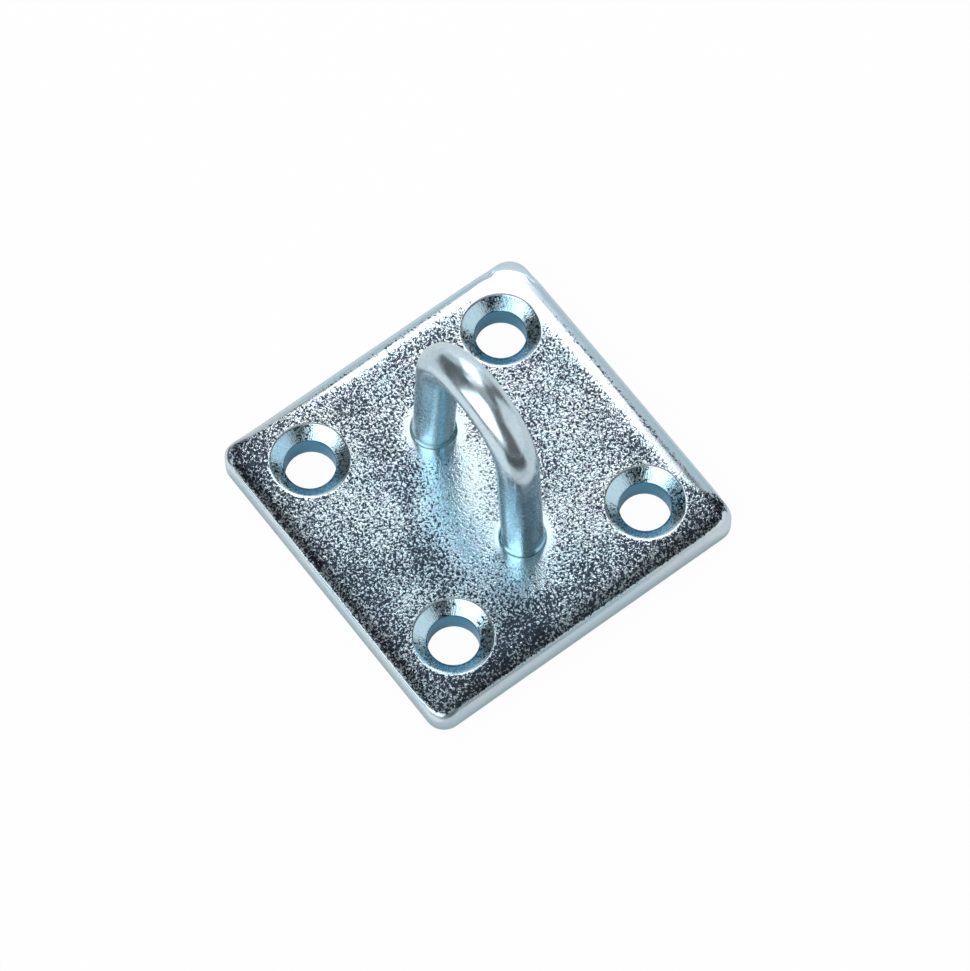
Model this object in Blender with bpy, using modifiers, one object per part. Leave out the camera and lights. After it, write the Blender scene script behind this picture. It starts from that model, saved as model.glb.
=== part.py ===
"""Fixed eye plate: a bow of round bar whose two ends are riveted into a square screw-down plate.

Metres, +Z up. The origin is the middle of the plate's back face, which lies on the wall or floor.
The bow stands in the XZ plane, with its legs at -X and +X.
"""

import math

import bmesh
import bpy
from mathutils import Vector

# Plate
PLATE_SIDE = 0.050
PLATE_THICKNESS = 0.0052
PLATE_CORNER_RADIUS = 0.0027
EDGE_ROLL_WIDTH = 0.0045
EDGE_ROLL_DEPTH = 0.00075
EDGE_ROLL_POWER = 2.6
EDGE_BEVEL_WIDTH = 0.00055
EDGE_BEVEL_ANGLE = math.radians(71.6)
EDGE_ROUND_RADIUS = 0.0005
CORNER_ROLL_RADIUS = 0.0065
BACK_EDGE_RADIUS = 0.0010

# Screw holes, one near each corner, each countersunk at the front
SCREW_HOLE_INSET = 0.0090
SCREW_HOLE_DIAMETER = 0.0070
COUNTERSINK_WIDTH = 0.00185
COUNTERSINK_DEPTH = 0.0014

# Bow of round bar, with a slight flare where each foot bears on the plate
BAR_DIAMETER = 0.0057
LEG_SPACING = 0.0198
BOW_REACH = 0.0314
BOW_BEND_RADIUS = 0.0087
FOOT_FLARE_WIDTH = 0.00025
FOOT_FLARE_HEIGHT = 0.0009

# Riveted ends, upset into countersinks in the plate's back
RIVET_HEAD_WIDTH = 0.00125
RIVET_HEAD_DEPTH = 0.0014
RIVET_RECESS = 0.0002
FIT_CLEARANCE = 0.0001

# Smoothness
CORNER_STEPS = 8
ROLL_STEPS = 6
ROUND_STEPS = 3
BACK_STEPS = 3
HOLE_STEPS = 48
BEND_STEPS = 32
BAR_SIDES_RESOLUTION = 10
SHARP_ANGLE = math.radians(40)
CUT_OVERSHOOT = 0.001

# Finish: zinc plate with a blue passivate
PLATE_COLOUR = (0.56, 0.64, 0.69, 1.0)
BAR_COLOUR = (0.60, 0.66, 0.69, 1.0)


def clear_scene():
    for obj in list(bpy.data.objects):
        bpy.data.objects.remove(obj, do_unlink=True)


def new_collection(name):
    collection = bpy.data.collections.new(name)
    bpy.context.scene.collection.children.link(collection)
    return collection


def metal(name, colour, roughness):
    material = bpy.data.materials.new(name)
    material.use_nodes = True
    shader = material.node_tree.nodes["Principled BSDF"]
    shader.inputs["Base Color"].default_value = colour
    shader.inputs["Metallic"].default_value = 1.0
    shader.inputs["Roughness"].default_value = roughness
    return material


def rounded_square(half, radius, z):
    """Points of a square with round corners, anticlockwise from the +X +Y corner."""
    points = []
    for corner in range(4):
        turn = corner * math.pi / 2
        centre = Vector((half - radius, half - radius))
        for step in range(CORNER_STEPS + 1):
            angle = step / CORNER_STEPS * math.pi / 2
            flat = centre + radius * Vector((math.cos(angle), math.sin(angle)))
            x = flat.x * math.cos(turn) - flat.y * math.sin(turn)
            y = flat.x * math.sin(turn) + flat.y * math.cos(turn)
            points.append((x, y, z))
    return points


def edge_profile():
    """(inset, height) of the front edge, from the upright rim in to the flat of the plate.

    The front rolls down towards the rim, ever more steeply, as a pressed plate does. The roll ends in a tight
    round, and a steep bevel leads from there out to the rim.
    """
    roll_run = EDGE_ROLL_WIDTH - EDGE_BEVEL_WIDTH
    roll_slope = math.atan(EDGE_ROLL_POWER * EDGE_ROLL_DEPTH / roll_run)
    turn = math.sin(EDGE_BEVEL_ANGLE) - math.sin(roll_slope)
    radius = min(EDGE_ROUND_RADIUS, EDGE_BEVEL_WIDTH / turn)
    roll_end = PLATE_THICKNESS - EDGE_ROLL_DEPTH

    edge = []
    for step in range(ROUND_STEPS):
        slope = EDGE_BEVEL_ANGLE + (roll_slope - EDGE_BEVEL_ANGLE) * step / ROUND_STEPS
        inset = EDGE_BEVEL_WIDTH - radius * (math.sin(slope) - math.sin(roll_slope))
        edge.append((inset, roll_end - radius * (math.cos(roll_slope) - math.cos(slope))))
    bevel_inset, bevel_height = edge[0]
    rim = (0.0, bevel_height - bevel_inset * math.tan(EDGE_BEVEL_ANGLE))

    roll = []
    for step in range(ROLL_STEPS + 1):
        inset = EDGE_BEVEL_WIDTH + roll_run * step / ROLL_STEPS
        drop = EDGE_ROLL_DEPTH * (1 - step / ROLL_STEPS) ** EDGE_ROLL_POWER
        roll.append((inset, PLATE_THICKNESS - drop))
    return [rim] + edge + roll


def plate_sections():
    """Outlines of the plate from its back to its front: a small round, the rim, then the front edge.

    The outlines get rounder corners as the front edge goes in, so the plate droops more at its corners.
    """
    half = PLATE_SIDE / 2
    sections = []
    for step in range(BACK_STEPS + 1):
        angle = step / BACK_STEPS * math.pi / 2
        inset = BACK_EDGE_RADIUS * (1 - math.sin(angle))
        height = BACK_EDGE_RADIUS * (1 - math.cos(angle))
        sections.append(rounded_square(half - inset, PLATE_CORNER_RADIUS - inset, height))
    for inset, height in edge_profile():
        rounding = (CORNER_ROLL_RADIUS - PLATE_CORNER_RADIUS) * inset / EDGE_ROLL_WIDTH
        sections.append(rounded_square(half - inset, PLATE_CORNER_RADIUS + rounding, height))
    return sections


def loft(name, sections):
    """A closed mesh through a stack of outlines that have the same number of points."""
    bm = bmesh.new()
    rings = [[bm.verts.new(point) for point in section] for section in sections]
    for lower, upper in zip(rings, rings[1:]):
        for i in range(len(lower)):
            j = (i + 1) % len(lower)
            bm.faces.new((lower[i], lower[j], upper[j], upper[i]))
    bm.faces.new(reversed(rings[0]))
    bm.faces.new(rings[-1])
    mesh = bpy.data.meshes.new(name)
    bm.to_mesh(mesh)
    bm.free()
    mesh.shade_smooth()
    mesh.set_sharp_from_angle(angle=SHARP_ANGLE)
    return mesh


def turned_cutter(name, profile, place, collection):
    """A turned cutter about a vertical axis. The profile runs down its outer side, from axis to axis."""
    mesh = bpy.data.meshes.new(name)
    edges = [(i, i + 1) for i in range(len(profile) - 1)]
    mesh.from_pydata([(radius, 0.0, z) for radius, z in profile], edges, [])
    cutter = bpy.data.objects.new(name, mesh)
    cutter.location = (place[0], place[1], 0.0)
    turn = cutter.modifiers.new("Turn", "SCREW")
    turn.steps = HOLE_STEPS
    turn.render_steps = HOLE_STEPS
    turn.use_merge_vertices = True
    turn.merge_threshold = 1e-6
    cutter.hide_render = True
    cutter.display_type = "WIRE"
    collection.objects.link(cutter)
    return cutter


def cut(target, cutter):
    boolean = target.modifiers.new("Cut " + cutter.name, "BOOLEAN")
    boolean.operation = "DIFFERENCE"
    boolean.solver = "EXACT"
    boolean.object = cutter


def screw_hole_profile():
    """Bore with a countersink at the plate's front. The cone is carried on past the front face."""
    bore = SCREW_HOLE_DIAMETER / 2
    slope = COUNTERSINK_WIDTH / COUNTERSINK_DEPTH
    top = PLATE_THICKNESS + CUT_OVERSHOOT
    return [
        (0.0, top),
        (bore + COUNTERSINK_WIDTH + slope * CUT_OVERSHOOT, top),
        (bore, PLATE_THICKNESS - COUNTERSINK_DEPTH),
        (bore, -CUT_OVERSHOOT),
        (0.0, -CUT_OVERSHOOT),
    ]


def rivet_radius(z):
    """Radius of a riveted end's cone at height z, widest at the plate's back face."""
    return BAR_DIAMETER / 2 + RIVET_HEAD_WIDTH * (1 - z / RIVET_HEAD_DEPTH)


def leg_hole_profile():
    """Bore for a leg, with a countersink at the plate's back for the riveted end."""
    bore = BAR_DIAMETER / 2 + FIT_CLEARANCE
    top = PLATE_THICKNESS + CUT_OVERSHOOT
    return [
        (0.0, top),
        (bore, top),
        (bore, RIVET_HEAD_DEPTH),
        (rivet_radius(-CUT_OVERSHOOT) + FIT_CLEARANCE, -CUT_OVERSHOOT),
        (0.0, -CUT_OVERSHOOT),
    ]


def make_base_plate(parts, cutters):
    plate = bpy.data.objects.new("base_plate", loft("base_plate", plate_sections()))
    parts.objects.link(plate)
    reach = PLATE_SIDE / 2 - SCREW_HOLE_INSET
    places = [(-reach, -reach), (-reach, reach), (reach, reach), (reach, -reach)]
    for number, place in enumerate(places, start=1):
        cut(plate, turned_cutter(f"screw_hole_{number}", screw_hole_profile(), place, cutters))
    for number, x in enumerate((-LEG_SPACING / 2, LEG_SPACING / 2), start=1):
        cut(plate, turned_cutter(f"leg_hole_{number}", leg_hole_profile(), (x, 0.0), cutters))
    plate.data.materials.append(metal("zinc_plate", PLATE_COLOUR, 0.32))
    return plate


def bow_path():
    """(x, z, radius) along the bar from one riveted end to the other.

    Each leg rises from its foot along the line that just touches the bend's circle. The bend is narrower
    than the holes are apart, so the legs lean in a little.
    """
    bar = BAR_DIAMETER / 2
    foot_z = PLATE_THICKNESS + FIT_CLEARANCE
    bend_z = PLATE_THICKNESS + BOW_REACH - bar - BOW_BEND_RADIUS
    flare_z = foot_z + FOOT_FLARE_HEIGHT

    start = Vector((-LEG_SPACING / 2, flare_z))
    to_centre = Vector((0.0, bend_z)) - start
    lean = math.atan2(to_centre.y, to_centre.x) + math.asin(BOW_BEND_RADIUS / to_centre.length)
    first = lean + math.pi / 2
    last = math.pi - first

    half = [
        (start.x, RIVET_RECESS, rivet_radius(RIVET_RECESS)),
        (start.x, RIVET_HEAD_DEPTH, bar),
        (start.x, PLATE_THICKNESS, bar),
        (start.x, foot_z, bar + FOOT_FLARE_WIDTH),
        (start.x, flare_z, bar),
    ]
    bend = []
    for step in range(BEND_STEPS + 1):
        angle = first + (last - first) * step / BEND_STEPS
        x = BOW_BEND_RADIUS * math.cos(angle)
        z = bend_z + BOW_BEND_RADIUS * math.sin(angle)
        bend.append((x, z, bar))
    other_half = [(-x, z, radius) for x, z, radius in reversed(half)]
    return half + bend + other_half


def make_staple(parts):
    curve = bpy.data.curves.new("staple", "CURVE")
    curve.dimensions = "3D"
    curve.bevel_depth = 1.0
    curve.bevel_resolution = BAR_SIDES_RESOLUTION
    curve.use_fill_caps = True
    path = bow_path()
    spline = curve.splines.new("POLY")
    spline.points.add(len(path) - 1)
    for point, (x, z, radius) in zip(spline.points, path):
        point.co = (x, 0.0, z, 1.0)
        point.radius = radius
    spline.use_smooth = True
    curve.materials.append(metal("zinc_bar", BAR_COLOUR, 0.28))
    staple = bpy.data.objects.new("staple", curve)
    parts.objects.link(staple)
    return staple


def main():
    clear_scene()
    parts = new_collection("eye_plate")
    cutters = new_collection("eye_plate_cutters")
    make_base_plate(parts, cutters)
    make_staple(parts)


main()
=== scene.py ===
# %% [markdown]
# # An eye plate in Blender
# The object is a small steel fitting: a square plate with four countersunk screw holes, and a bow of round
# bar that is riveted through it. A hook, a cord or a padlock goes through the bow.
# The CAD model already has every piece at its true size. It is loaded here as a fixed frame, and this lesson
# makes finer meshes, zinc materials, light and a camera round it.

# %% Load the CAD frame
import math

import bmesh
import bpy
from mathutils import Matrix, Quaternion, Vector, noise


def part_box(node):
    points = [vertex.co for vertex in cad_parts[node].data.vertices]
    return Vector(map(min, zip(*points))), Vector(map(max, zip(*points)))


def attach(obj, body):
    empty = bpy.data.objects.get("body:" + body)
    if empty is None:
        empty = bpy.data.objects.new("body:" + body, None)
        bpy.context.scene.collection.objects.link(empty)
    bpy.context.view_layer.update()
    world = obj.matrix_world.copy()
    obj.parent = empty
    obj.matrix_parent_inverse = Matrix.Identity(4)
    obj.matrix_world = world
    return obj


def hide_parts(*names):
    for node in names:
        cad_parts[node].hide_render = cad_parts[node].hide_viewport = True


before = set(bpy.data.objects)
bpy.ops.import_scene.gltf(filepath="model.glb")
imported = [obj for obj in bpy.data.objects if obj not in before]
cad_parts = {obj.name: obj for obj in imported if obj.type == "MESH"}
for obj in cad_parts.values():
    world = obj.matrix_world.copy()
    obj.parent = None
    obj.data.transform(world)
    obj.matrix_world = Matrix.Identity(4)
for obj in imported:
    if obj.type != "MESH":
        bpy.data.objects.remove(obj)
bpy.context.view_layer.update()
for name in sorted(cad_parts):
    low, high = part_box(name)
    print("node", name, "mm", [round(1000 * value, 2) for value in high - low])

# %% [markdown]
# ## Sizes
# The outer sizes are read from the CAD nodes, so the scene follows the frame if a size changes there. What a
# box can't tell, such as the width of a rolled edge, is written down once, in millimetres.

# %% Sizes of the plate
MM = 0.001
plate_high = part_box("base_plate")[1]
HALF_SIDE = plate_high.x
THICKNESS = plate_high.z
CORNER_RADIUS = 2.7 * MM
ROLL_WIDTH = 4.5 * MM
ROLL_DEPTH = 0.65 * MM
ROLL_POWER = 2.6
ROLL_CORNER_RADIUS = 6.5 * MM
# Width and first radius of the front edge in mm, at the middle of each side and at each corner.
SIDE_EDGES = {(-1, 0): (1.6, 2.2), (1, 0): (0.78, 0.5), (0, -1): (0.5, 0.4), (0, 1): (1.05, 1.5)}
CORNER_EDGES = {(-1, -1): (0.75, 0.5), (-1, 1): (4.0, 6.0), (1, 1): (1.4, 0.9), (1, -1): (0.9, 0.6)}
NARROWEST = min(width for width, radius in SIDE_EDGES.values()) * MM
TIGHT_SLOPE = math.radians(45)
LAST_SLOPE = math.radians(80)
BACK_ROUND = 1.0 * MM
HOLE_REACH = 16.0 * MM
BORE_RADIUS = 3.5 * MM
SINK_WIDTH = 1.85 * MM
SINK_DEPTH = 1.4 * MM
SINK_SOFTNESS = 0.22 * MM
print("plate mm", round(2 * HALF_SIDE / MM, 2), "wide and", round(THICKNESS / MM, 2), "thick")

# %% Sizes of the bow
bow_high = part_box("staple")[1]
BAR_RADIUS = 2.85 * MM
LEG_X = (-9.76 * MM, 10.04 * MM)
FOOT_RADIUS = 3.08 * MM
FOOT_HEIGHT = 0.8 * MM
JOINT_GAP = 0.045 * MM
BEND_RADIUS = 8.68 * MM
BEND_X = 0.26 * MM
BEND_Z = bow_high.z - BAR_RADIUS - BEND_RADIUS
RIVET_RADIUS = 4.1 * MM
RIVET_DEPTH = 1.4 * MM
RIVET_RECESS = 0.2 * MM
print("bow mm", round(bow_high.z / MM, 2), "high, bar", round(2 * BAR_RADIUS / MM, 2))

# %% [markdown]
# ## The plate's front as a height
# A pressed plate is flat in the middle and rolls over towards its rim. A formula gives the height of its
# front at any point, so the edge roll, the countersinks and a little unevenness all blend without seams.
# Boolean modifiers would cut the holes with less code, but they leave creases that show in bright metal.

# %% How far a point lies into the edge roll
WAVE_SCALE = 160.0
WAVE_HEIGHT = 0.012 * MM


def roll_share(x, y):
    """0 on the plate's rim and 1 where the edge roll has run out into the flat."""
    x, y = max(abs(x), abs(y)), min(abs(x), abs(y))
    share = (HALF_SIDE - x) / ROLL_WIDTH
    centre = HALF_SIDE - CORNER_RADIUS
    radius_run = ROLL_CORNER_RADIUS - CORNER_RADIUS
    centre_run = -ROLL_WIDTH - radius_run
    if y <= centre + centre_run * share:
        return min(share, 1.0)
    u, v = x - centre, y - centre
    a = 2 * centre_run ** 2 - radius_run ** 2
    b = -2 * (centre_run * (u + v) + CORNER_RADIUS * radius_run)
    c = u * u + v * v - CORNER_RADIUS ** 2
    inside = max(b * b - 4 * a * c, 0.0)
    share = (-b + math.sqrt(inside)) / (2 * a)
    return min(max(share, 0.0), 1.0)


def rolled_height(x, y):
    reach = (1.0 - roll_share(x, y)) * ROLL_WIDTH / (ROLL_WIDTH - NARROWEST)
    wave = noise.noise(Vector((x, y, 0.0)) * WAVE_SCALE) * WAVE_HEIGHT
    return THICKNESS - ROLL_DEPTH * min(reach, 1.0) ** ROLL_POWER + min(wave, 0.0)


print("share of the roll at a corner hole", round(roll_share(HOLE_REACH, HOLE_REACH), 3))


# %% Height of the front with its countersinks
def soft_min(a, b, softness):
    """The lower of two heights, with a rounded edge where they cross."""
    near = max(softness - abs(a - b), 0.0) / softness
    return min(a, b) - near * near * softness / 4


def front_height(x, y):
    height = rolled_height(x, y)
    for hole_x, hole_y in screw_holes:
        radius = math.hypot(x - hole_x, y - hole_y)
        cone = THICKNESS - SINK_DEPTH + (radius - BORE_RADIUS) * SINK_DEPTH / SINK_WIDTH
        height = soft_min(height, cone, SINK_SOFTNESS)
    return height


screw_holes = [(side_x * HOLE_REACH, side_y * HOLE_REACH) for side_x in (-1, 1) for side_y in (-1, 1)]
print("front height in mm: middle", round(front_height(0, 0) / MM, 3),
      "near the rim", round(front_height(HALF_SIDE - NARROWEST, 0) / MM, 3))

# %% [markdown]
# ## The plate's mesh
# Both faces of the plate start as a grid. The squares round the holes are taken out, and each opening is
# extruded inwards, ring by ring, from the square to a circle. Blender's Extrude and To Sphere do the same by
# hand. Round rings follow the countersinks, so the bright rims stay clean.

# %% Grid of a face
CELL = 0.5 * MM
GRID_HALF = 23.0 * MM
GRID_CORNER = 7.0 * MM
GRID_EASE_START = 17.0 * MM
HOLE_CELL_HALF = 7.0 * MM
LEG_CELL_HALF = 4.5 * MM
LEG_CELL_X = (-10.0 * MM, 10.0 * MM)


def lerp(a, b, share):
    return a + (b - a) * share


def smooth_step(low, high, value):
    share = min(max((value - low) / (high - low), 0.0), 1.0)
    return share * share * (3 - 2 * share)


def rim_point(half, radius, x, y):
    """A point of a round-cornered square, for a point of a plain square given as shares of its half side."""
    straight = half - radius
    along = min(abs(x), abs(y))
    bend_start = straight / half
    if along <= bend_start:
        major, minor = half, along * half
    else:
        turn = (along - bend_start) / (1 - bend_start) * math.pi / 4
        major, minor = straight + radius * math.cos(turn), straight + radius * math.sin(turn)
    px, py = (major, minor) if abs(x) >= abs(y) else (minor, major)
    return Vector((math.copysign(px, x), math.copysign(py, y)))


def eased(x, y):
    """Moves a point of the grid so that the grid's outer rows go round the plate's corners."""
    half = max(abs(x), abs(y))
    radius = GRID_CORNER * smooth_step(GRID_EASE_START, GRID_HALF, half)
    return rim_point(half, radius, x / half, y / half) if radius else Vector((x, y))


def square_path(cx, cy, half):
    """Points round a square, one cell apart."""
    steps = [k * CELL for k in range(round(2 * half / CELL))]
    path = [(cx - half + step, cy - half) for step in steps]
    path += [(cx + half, cy - half + step) for step in steps]
    path += [(cx + half - step, cy + half) for step in steps]
    return path + [(cx - half, cy + half - step) for step in steps]


def face_grid(bm, squares, height):
    """A grid with square openings. Returns the loops of vertices round the openings and round the grid."""
    count = round(2 * GRID_HALF / CELL)
    verts = {}

    def vert(x, y):
        key = round(x / CELL), round(y / CELL)
        if key not in verts:
            place = eased(x, y)
            verts[key] = bm.verts.new((place.x, place.y, height(place.x, place.y)))
        return verts[key]

    for i in range(count):
        for j in range(count):
            x, y = -GRID_HALF + i * CELL, -GRID_HALF + j * CELL
            middle_x, middle_y = x + CELL / 2, y + CELL / 2
            if not any(abs(middle_x - cx) < half and abs(middle_y - cy) < half for cx, cy, half in squares):
                bm.faces.new((vert(x, y), vert(x + CELL, y), vert(x + CELL, y + CELL), vert(x, y + CELL)))
    loops = [[vert(x, y) for x, y in square_path(*square)] for square in squares]
    return loops, [vert(x, y) for x, y in square_path(0.0, 0.0, GRID_HALF)]


print("grid cells across the plate", round(2 * GRID_HALF / CELL))


# %% Rings from a square to a circle, and turned rings
def turned_angle(dx, dy):
    """Angle on a circle for a point on a square, with the points evenly spread."""
    if abs(dx) >= abs(dy):
        turn = math.radians(45 * dy / abs(dx))
        return turn if dx > 0 else math.pi - turn
    turn = math.radians(45 * dx / abs(dy))
    return math.pi / 2 - turn if dy > 0 else -math.pi / 2 + turn


def next_ring(bm, ring, points):
    """Joins a ring of vertices to a new ring at the given points."""
    new = [bm.verts.new(point) for point in points]
    count = len(ring)
    for k in range(count):
        bm.faces.new((ring[k], ring[(k + 1) % count], new[(k + 1) % count], new[k]))
    return new


def rings_to_circle(bm, ring, square, centre, radius, steps, height):
    """Rings from a square opening to a circle. Returns the last ring and the angle of each of its points."""
    starts = [vert.co.copy() for vert in ring]
    angles = [turned_angle(start.x - square[0], start.y - square[1]) for start in starts]
    for step in range(1, steps + 1):
        points = []
        for start, angle in zip(starts, angles):
            x = lerp(start.x, centre[0] + radius * math.cos(angle), step / steps)
            y = lerp(start.y, centre[1] + radius * math.sin(angle), step / steps)
            points.append((x, y, height(x, y)))
        ring = next_ring(bm, ring, points)
    return ring, angles


def turned_rings(bm, ring, angles, centre, profile):
    """Rings of a turned shape. The profile lists radius and height, and a height may be a function."""
    for radius, level in profile:
        points = []
        for angle in angles:
            x, y = centre[0] + radius * math.cos(angle), centre[1] + radius * math.sin(angle)
            points.append((x, y, level(x, y) if callable(level) else level))
        ring = next_ring(bm, ring, points)
    return ring


print("points round a screw hole", round(8 * HOLE_CELL_HALF / CELL))

# %% [markdown]
# ## The plate's rim
# The rim is a stack of outlines: squares with round corners. Each point of the grid's border travels to its
# own point on the rim: over the roll, round a tight edge, on over a long round, and round the small radius at
# the back. The press has left the edge wider at some sides than at others, and widest at one corner. A Bevel
# modifier gives one profile all the way round, so this one is written out.

# %% Profile down the side
TIGHT_RINGS = 4
LONG_RINGS = 8
BACK_RINGS = 6
CORNER_START = 0.74
TYPICAL_SLOPE = math.radians(20)


def edge_sizes(x, y):
    """Width and first radius of the edge at a point of the rim, given as shares of the half side."""
    side = (math.copysign(1, x), 0) if abs(x) >= abs(y) else (0, math.copysign(1, y))
    corner = (math.copysign(1, x), math.copysign(1, y))
    share = smooth_step(CORNER_START, 1.0, min(abs(x), abs(y)))
    pairs = zip(SIDE_EDGES[side], CORNER_EDGES[corner])
    return [MM * lerp(at_side, at_corner, share) for at_side, at_corner in pairs]


def arc(radius, first, last, count):
    """(out, down) along a round that turns from one slope to another."""
    for step in range(1, count + 1):
        slope = lerp(first, last, step / count)
        yield radius * (math.sin(slope) - math.sin(first)), radius * (math.cos(first) - math.cos(slope))


def side_profile(width, radius, top, start):
    """(inset, height) from the end of the roll, round the edge and down to the back face.

    The roll ends at the height top and at the slope start. A tight round comes first, then a long one.
    """
    profile = [(width - out, top - down) for out, down in arc(radius, start, TIGHT_SLOPE, TIGHT_RINGS)]
    inset, height = profile[-1]
    long_round = inset / (math.sin(LAST_SLOPE) - math.sin(TIGHT_SLOPE))
    lower = arc(long_round, TIGHT_SLOPE, LAST_SLOPE, LONG_RINGS)
    profile += [(inset - out, height - down) for out, down in lower]
    foot = profile[-1][1]
    profile += [(0.0, lerp(foot, BACK_ROUND, 0.5)), (0.0, BACK_ROUND)]
    for step in range(1, BACK_RINGS + 1):
        angle = step / BACK_RINGS * math.pi / 2
        profile.append((BACK_ROUND * (1 - math.cos(angle)), BACK_ROUND * (1 - math.sin(angle))))
    return profile


for side, (width, radius) in SIDE_EDGES.items():
    profile = side_profile(width * MM, radius * MM, THICKNESS - ROLL_DEPTH, TYPICAL_SLOPE)
    print("side", side, "edge ends at mm", round(profile[TIGHT_RINGS + LONG_RINGS - 1][1] / MM, 2))

# %% Close the rim
ROLL_RINGS = 8
PROBE = 0.05 * MM


def corner_radius(inset, level):
    if level <= BACK_ROUND:
        return CORNER_RADIUS - inset
    return lerp(CORNER_RADIUS, ROLL_CORNER_RADIUS, inset / ROLL_WIDTH)


def steepness(x, y):
    """Slope of the rolled front at a point, as an angle."""
    across_x = rolled_height(x + PROBE, y) - rolled_height(x - PROBE, y)
    across_y = rolled_height(x, y + PROBE) - rolled_height(x, y - PROBE)
    return math.atan(math.hypot(across_x, across_y) / (2 * PROBE))


def rim_path(start, x, y):
    """Points from one vertex of the grid's border over the roll, round the edge and down the side."""
    width, radius = edge_sizes(x, y)
    foot = rim_point(HALF_SIDE, CORNER_RADIUS, x, y)
    spread_out = (foot - rim_point(HALF_SIDE - width, corner_radius(width, THICKNESS), x, y)).length / width
    inset = width / spread_out
    edge = rim_point(HALF_SIDE - inset, corner_radius(inset, THICKNESS), x, y)
    path = []
    for step in range(1, ROLL_RINGS + 1):
        px, py = lerp(start.x, edge.x, step / ROLL_RINGS), lerp(start.y, edge.y, step / ROLL_RINGS)
        path.append((px, py, rolled_height(px, py)))
    for out, level in side_profile(width, radius, rolled_height(edge.x, edge.y), steepness(edge.x, edge.y)):
        inset = out / spread_out if level > BACK_ROUND else out
        outline = rim_point(HALF_SIDE - inset, corner_radius(inset, level), x, y)
        path.append((outline.x, outline.y, level))
    return path


def close_rim(bm, front_border, back_border):
    border = square_path(0.0, 0.0, GRID_HALF)
    paths = [rim_path(vert.co, x / GRID_HALF, y / GRID_HALF) for vert, (x, y) in zip(front_border, border)]
    ring = list(front_border)
    for points in zip(*paths):
        ring = next_ring(bm, ring, points)
    count = len(ring)
    for k in range(count):
        bm.faces.new((ring[k], ring[(k + 1) % count], back_border[(k + 1) % count], back_border[k]))


print("rings over the roll", ROLL_RINGS)

# %% [markdown]
# ## Holes, and the plate as one mesh
# A screw hole is a fine stack of rings: close together at the countersink's rim, where a small round catches
# the light, and wider down the cone and the bore. A leg hole is a close fit round the bar, and opens into a
# countersink at the back, where the bar's end is hammered out.

# %% Profiles of the holes
SINK_RIM = BORE_RADIUS + SINK_WIDTH
RIM_OUTSIDE = 1.05 * MM
RIM_INSIDE = 1.75 * MM
RIM_RINGS = 9
RIM_CROWDING = 1.8
LIP = 0.08 * MM
BACK_LIP = 0.2 * MM
LEG_HOLE = FOOT_RADIUS + JOINT_GAP
LEG_COLLAR = 3.7 * MM
RIVET_PLAY = 0.15 * MM
BORE_SHARES = (0.75, 0.5, 0.25)
# Out from a leg hole and down from the front, in mm.
LEG_LIP = [(0.2, 0.0), (0.08, 0.01), (0.02, 0.05), (0.0, 0.12), (0.0, 1.0)]


def screw_hole_profile():
    """Rings crowd together at the countersink's rim, then go down the cone and the bore."""
    shares = [(step / RIM_RINGS) ** RIM_CROWDING for step in range(RIM_RINGS + 1)]
    radii = [SINK_RIM + RIM_OUTSIDE * share for share in reversed(shares)]
    radii += [SINK_RIM - RIM_INSIDE * share for share in shares[1:]]
    profile = [(radius, front_height) for radius in radii[1:]]
    lip = THICKNESS - SINK_DEPTH
    profile += [(BORE_RADIUS + LIP / 2, lip), (BORE_RADIUS, lip - LIP)]
    profile += [(BORE_RADIUS, lip * share) for share in BORE_SHARES]
    return profile + [(BORE_RADIUS, BACK_LIP), (BORE_RADIUS + BACK_LIP, 0.0)]


def leg_hole_profile():
    profile = [(LEG_HOLE + out * MM, THICKNESS - down * MM) for out, down in LEG_LIP]
    profile += [(LEG_HOLE, RIVET_DEPTH), (RIVET_RADIUS + RIVET_PLAY, LIP)]
    return profile + [(RIVET_RADIUS + RIVET_PLAY + LIP, 0.0)]


print("rings in a screw hole", len(screw_hole_profile()))

# %% Make the plate
MORPH_RINGS = 6
SHARP_EDGE = math.radians(38)
WELD_DISTANCE = 1e-7


def back_height(x, y):
    return 0.0


def mesh_of(bm, name):
    """Closes a bmesh into a smooth-shaded mesh and reports any open edge."""
    bmesh.ops.remove_doubles(bm, verts=bm.verts, dist=WELD_DISTANCE)
    bmesh.ops.recalc_face_normals(bm, faces=bm.faces)
    if bm.calc_volume(signed=True) < 0.0:
        bmesh.ops.reverse_faces(bm, faces=bm.faces)
    open_edges = sum(1 for edge in bm.edges if not edge.is_manifold)
    mesh = bpy.data.meshes.new(name)
    bm.to_mesh(mesh)
    bm.free()
    mesh.shade_smooth()
    mesh.set_sharp_from_angle(angle=SHARP_EDGE)
    print(name, "faces", len(mesh.polygons), "open edges", open_edges)
    return mesh


def make_plate():
    bm = bmesh.new()
    holes = []
    for x, y in screw_holes:
        holes.append(((x, y, HOLE_CELL_HALF), (x, y), SINK_RIM + RIM_OUTSIDE, screw_hole_profile()))
    for cell_x, leg_x in zip(LEG_CELL_X, LEG_X):
        holes.append(((cell_x, 0.0, LEG_CELL_HALF), (leg_x, 0.0), LEG_COLLAR, leg_hole_profile()))
    squares = [hole[0] for hole in holes]
    front_loops, front_border = face_grid(bm, squares, front_height)
    back_loops, back_border = face_grid(bm, squares, back_height)
    for (square, centre, radius, profile), front, back in zip(holes, front_loops, back_loops):
        ring, angles = rings_to_circle(bm, front, square, centre, radius, MORPH_RINGS, front_height)
        turned_rings(bm, ring, angles, centre, profile)
        rings_to_circle(bm, back, square, centre, profile[-1][0], MORPH_RINGS, back_height)
    close_rim(bm, front_border, back_border)
    return mesh_of(bm, "eye_plate_base")


def add_piece(name, mesh, node):
    piece = bpy.data.objects.new(name, mesh)
    bpy.context.scene.collection.objects.link(piece)
    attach(piece, "root")
    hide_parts(node)
    return piece


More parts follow.
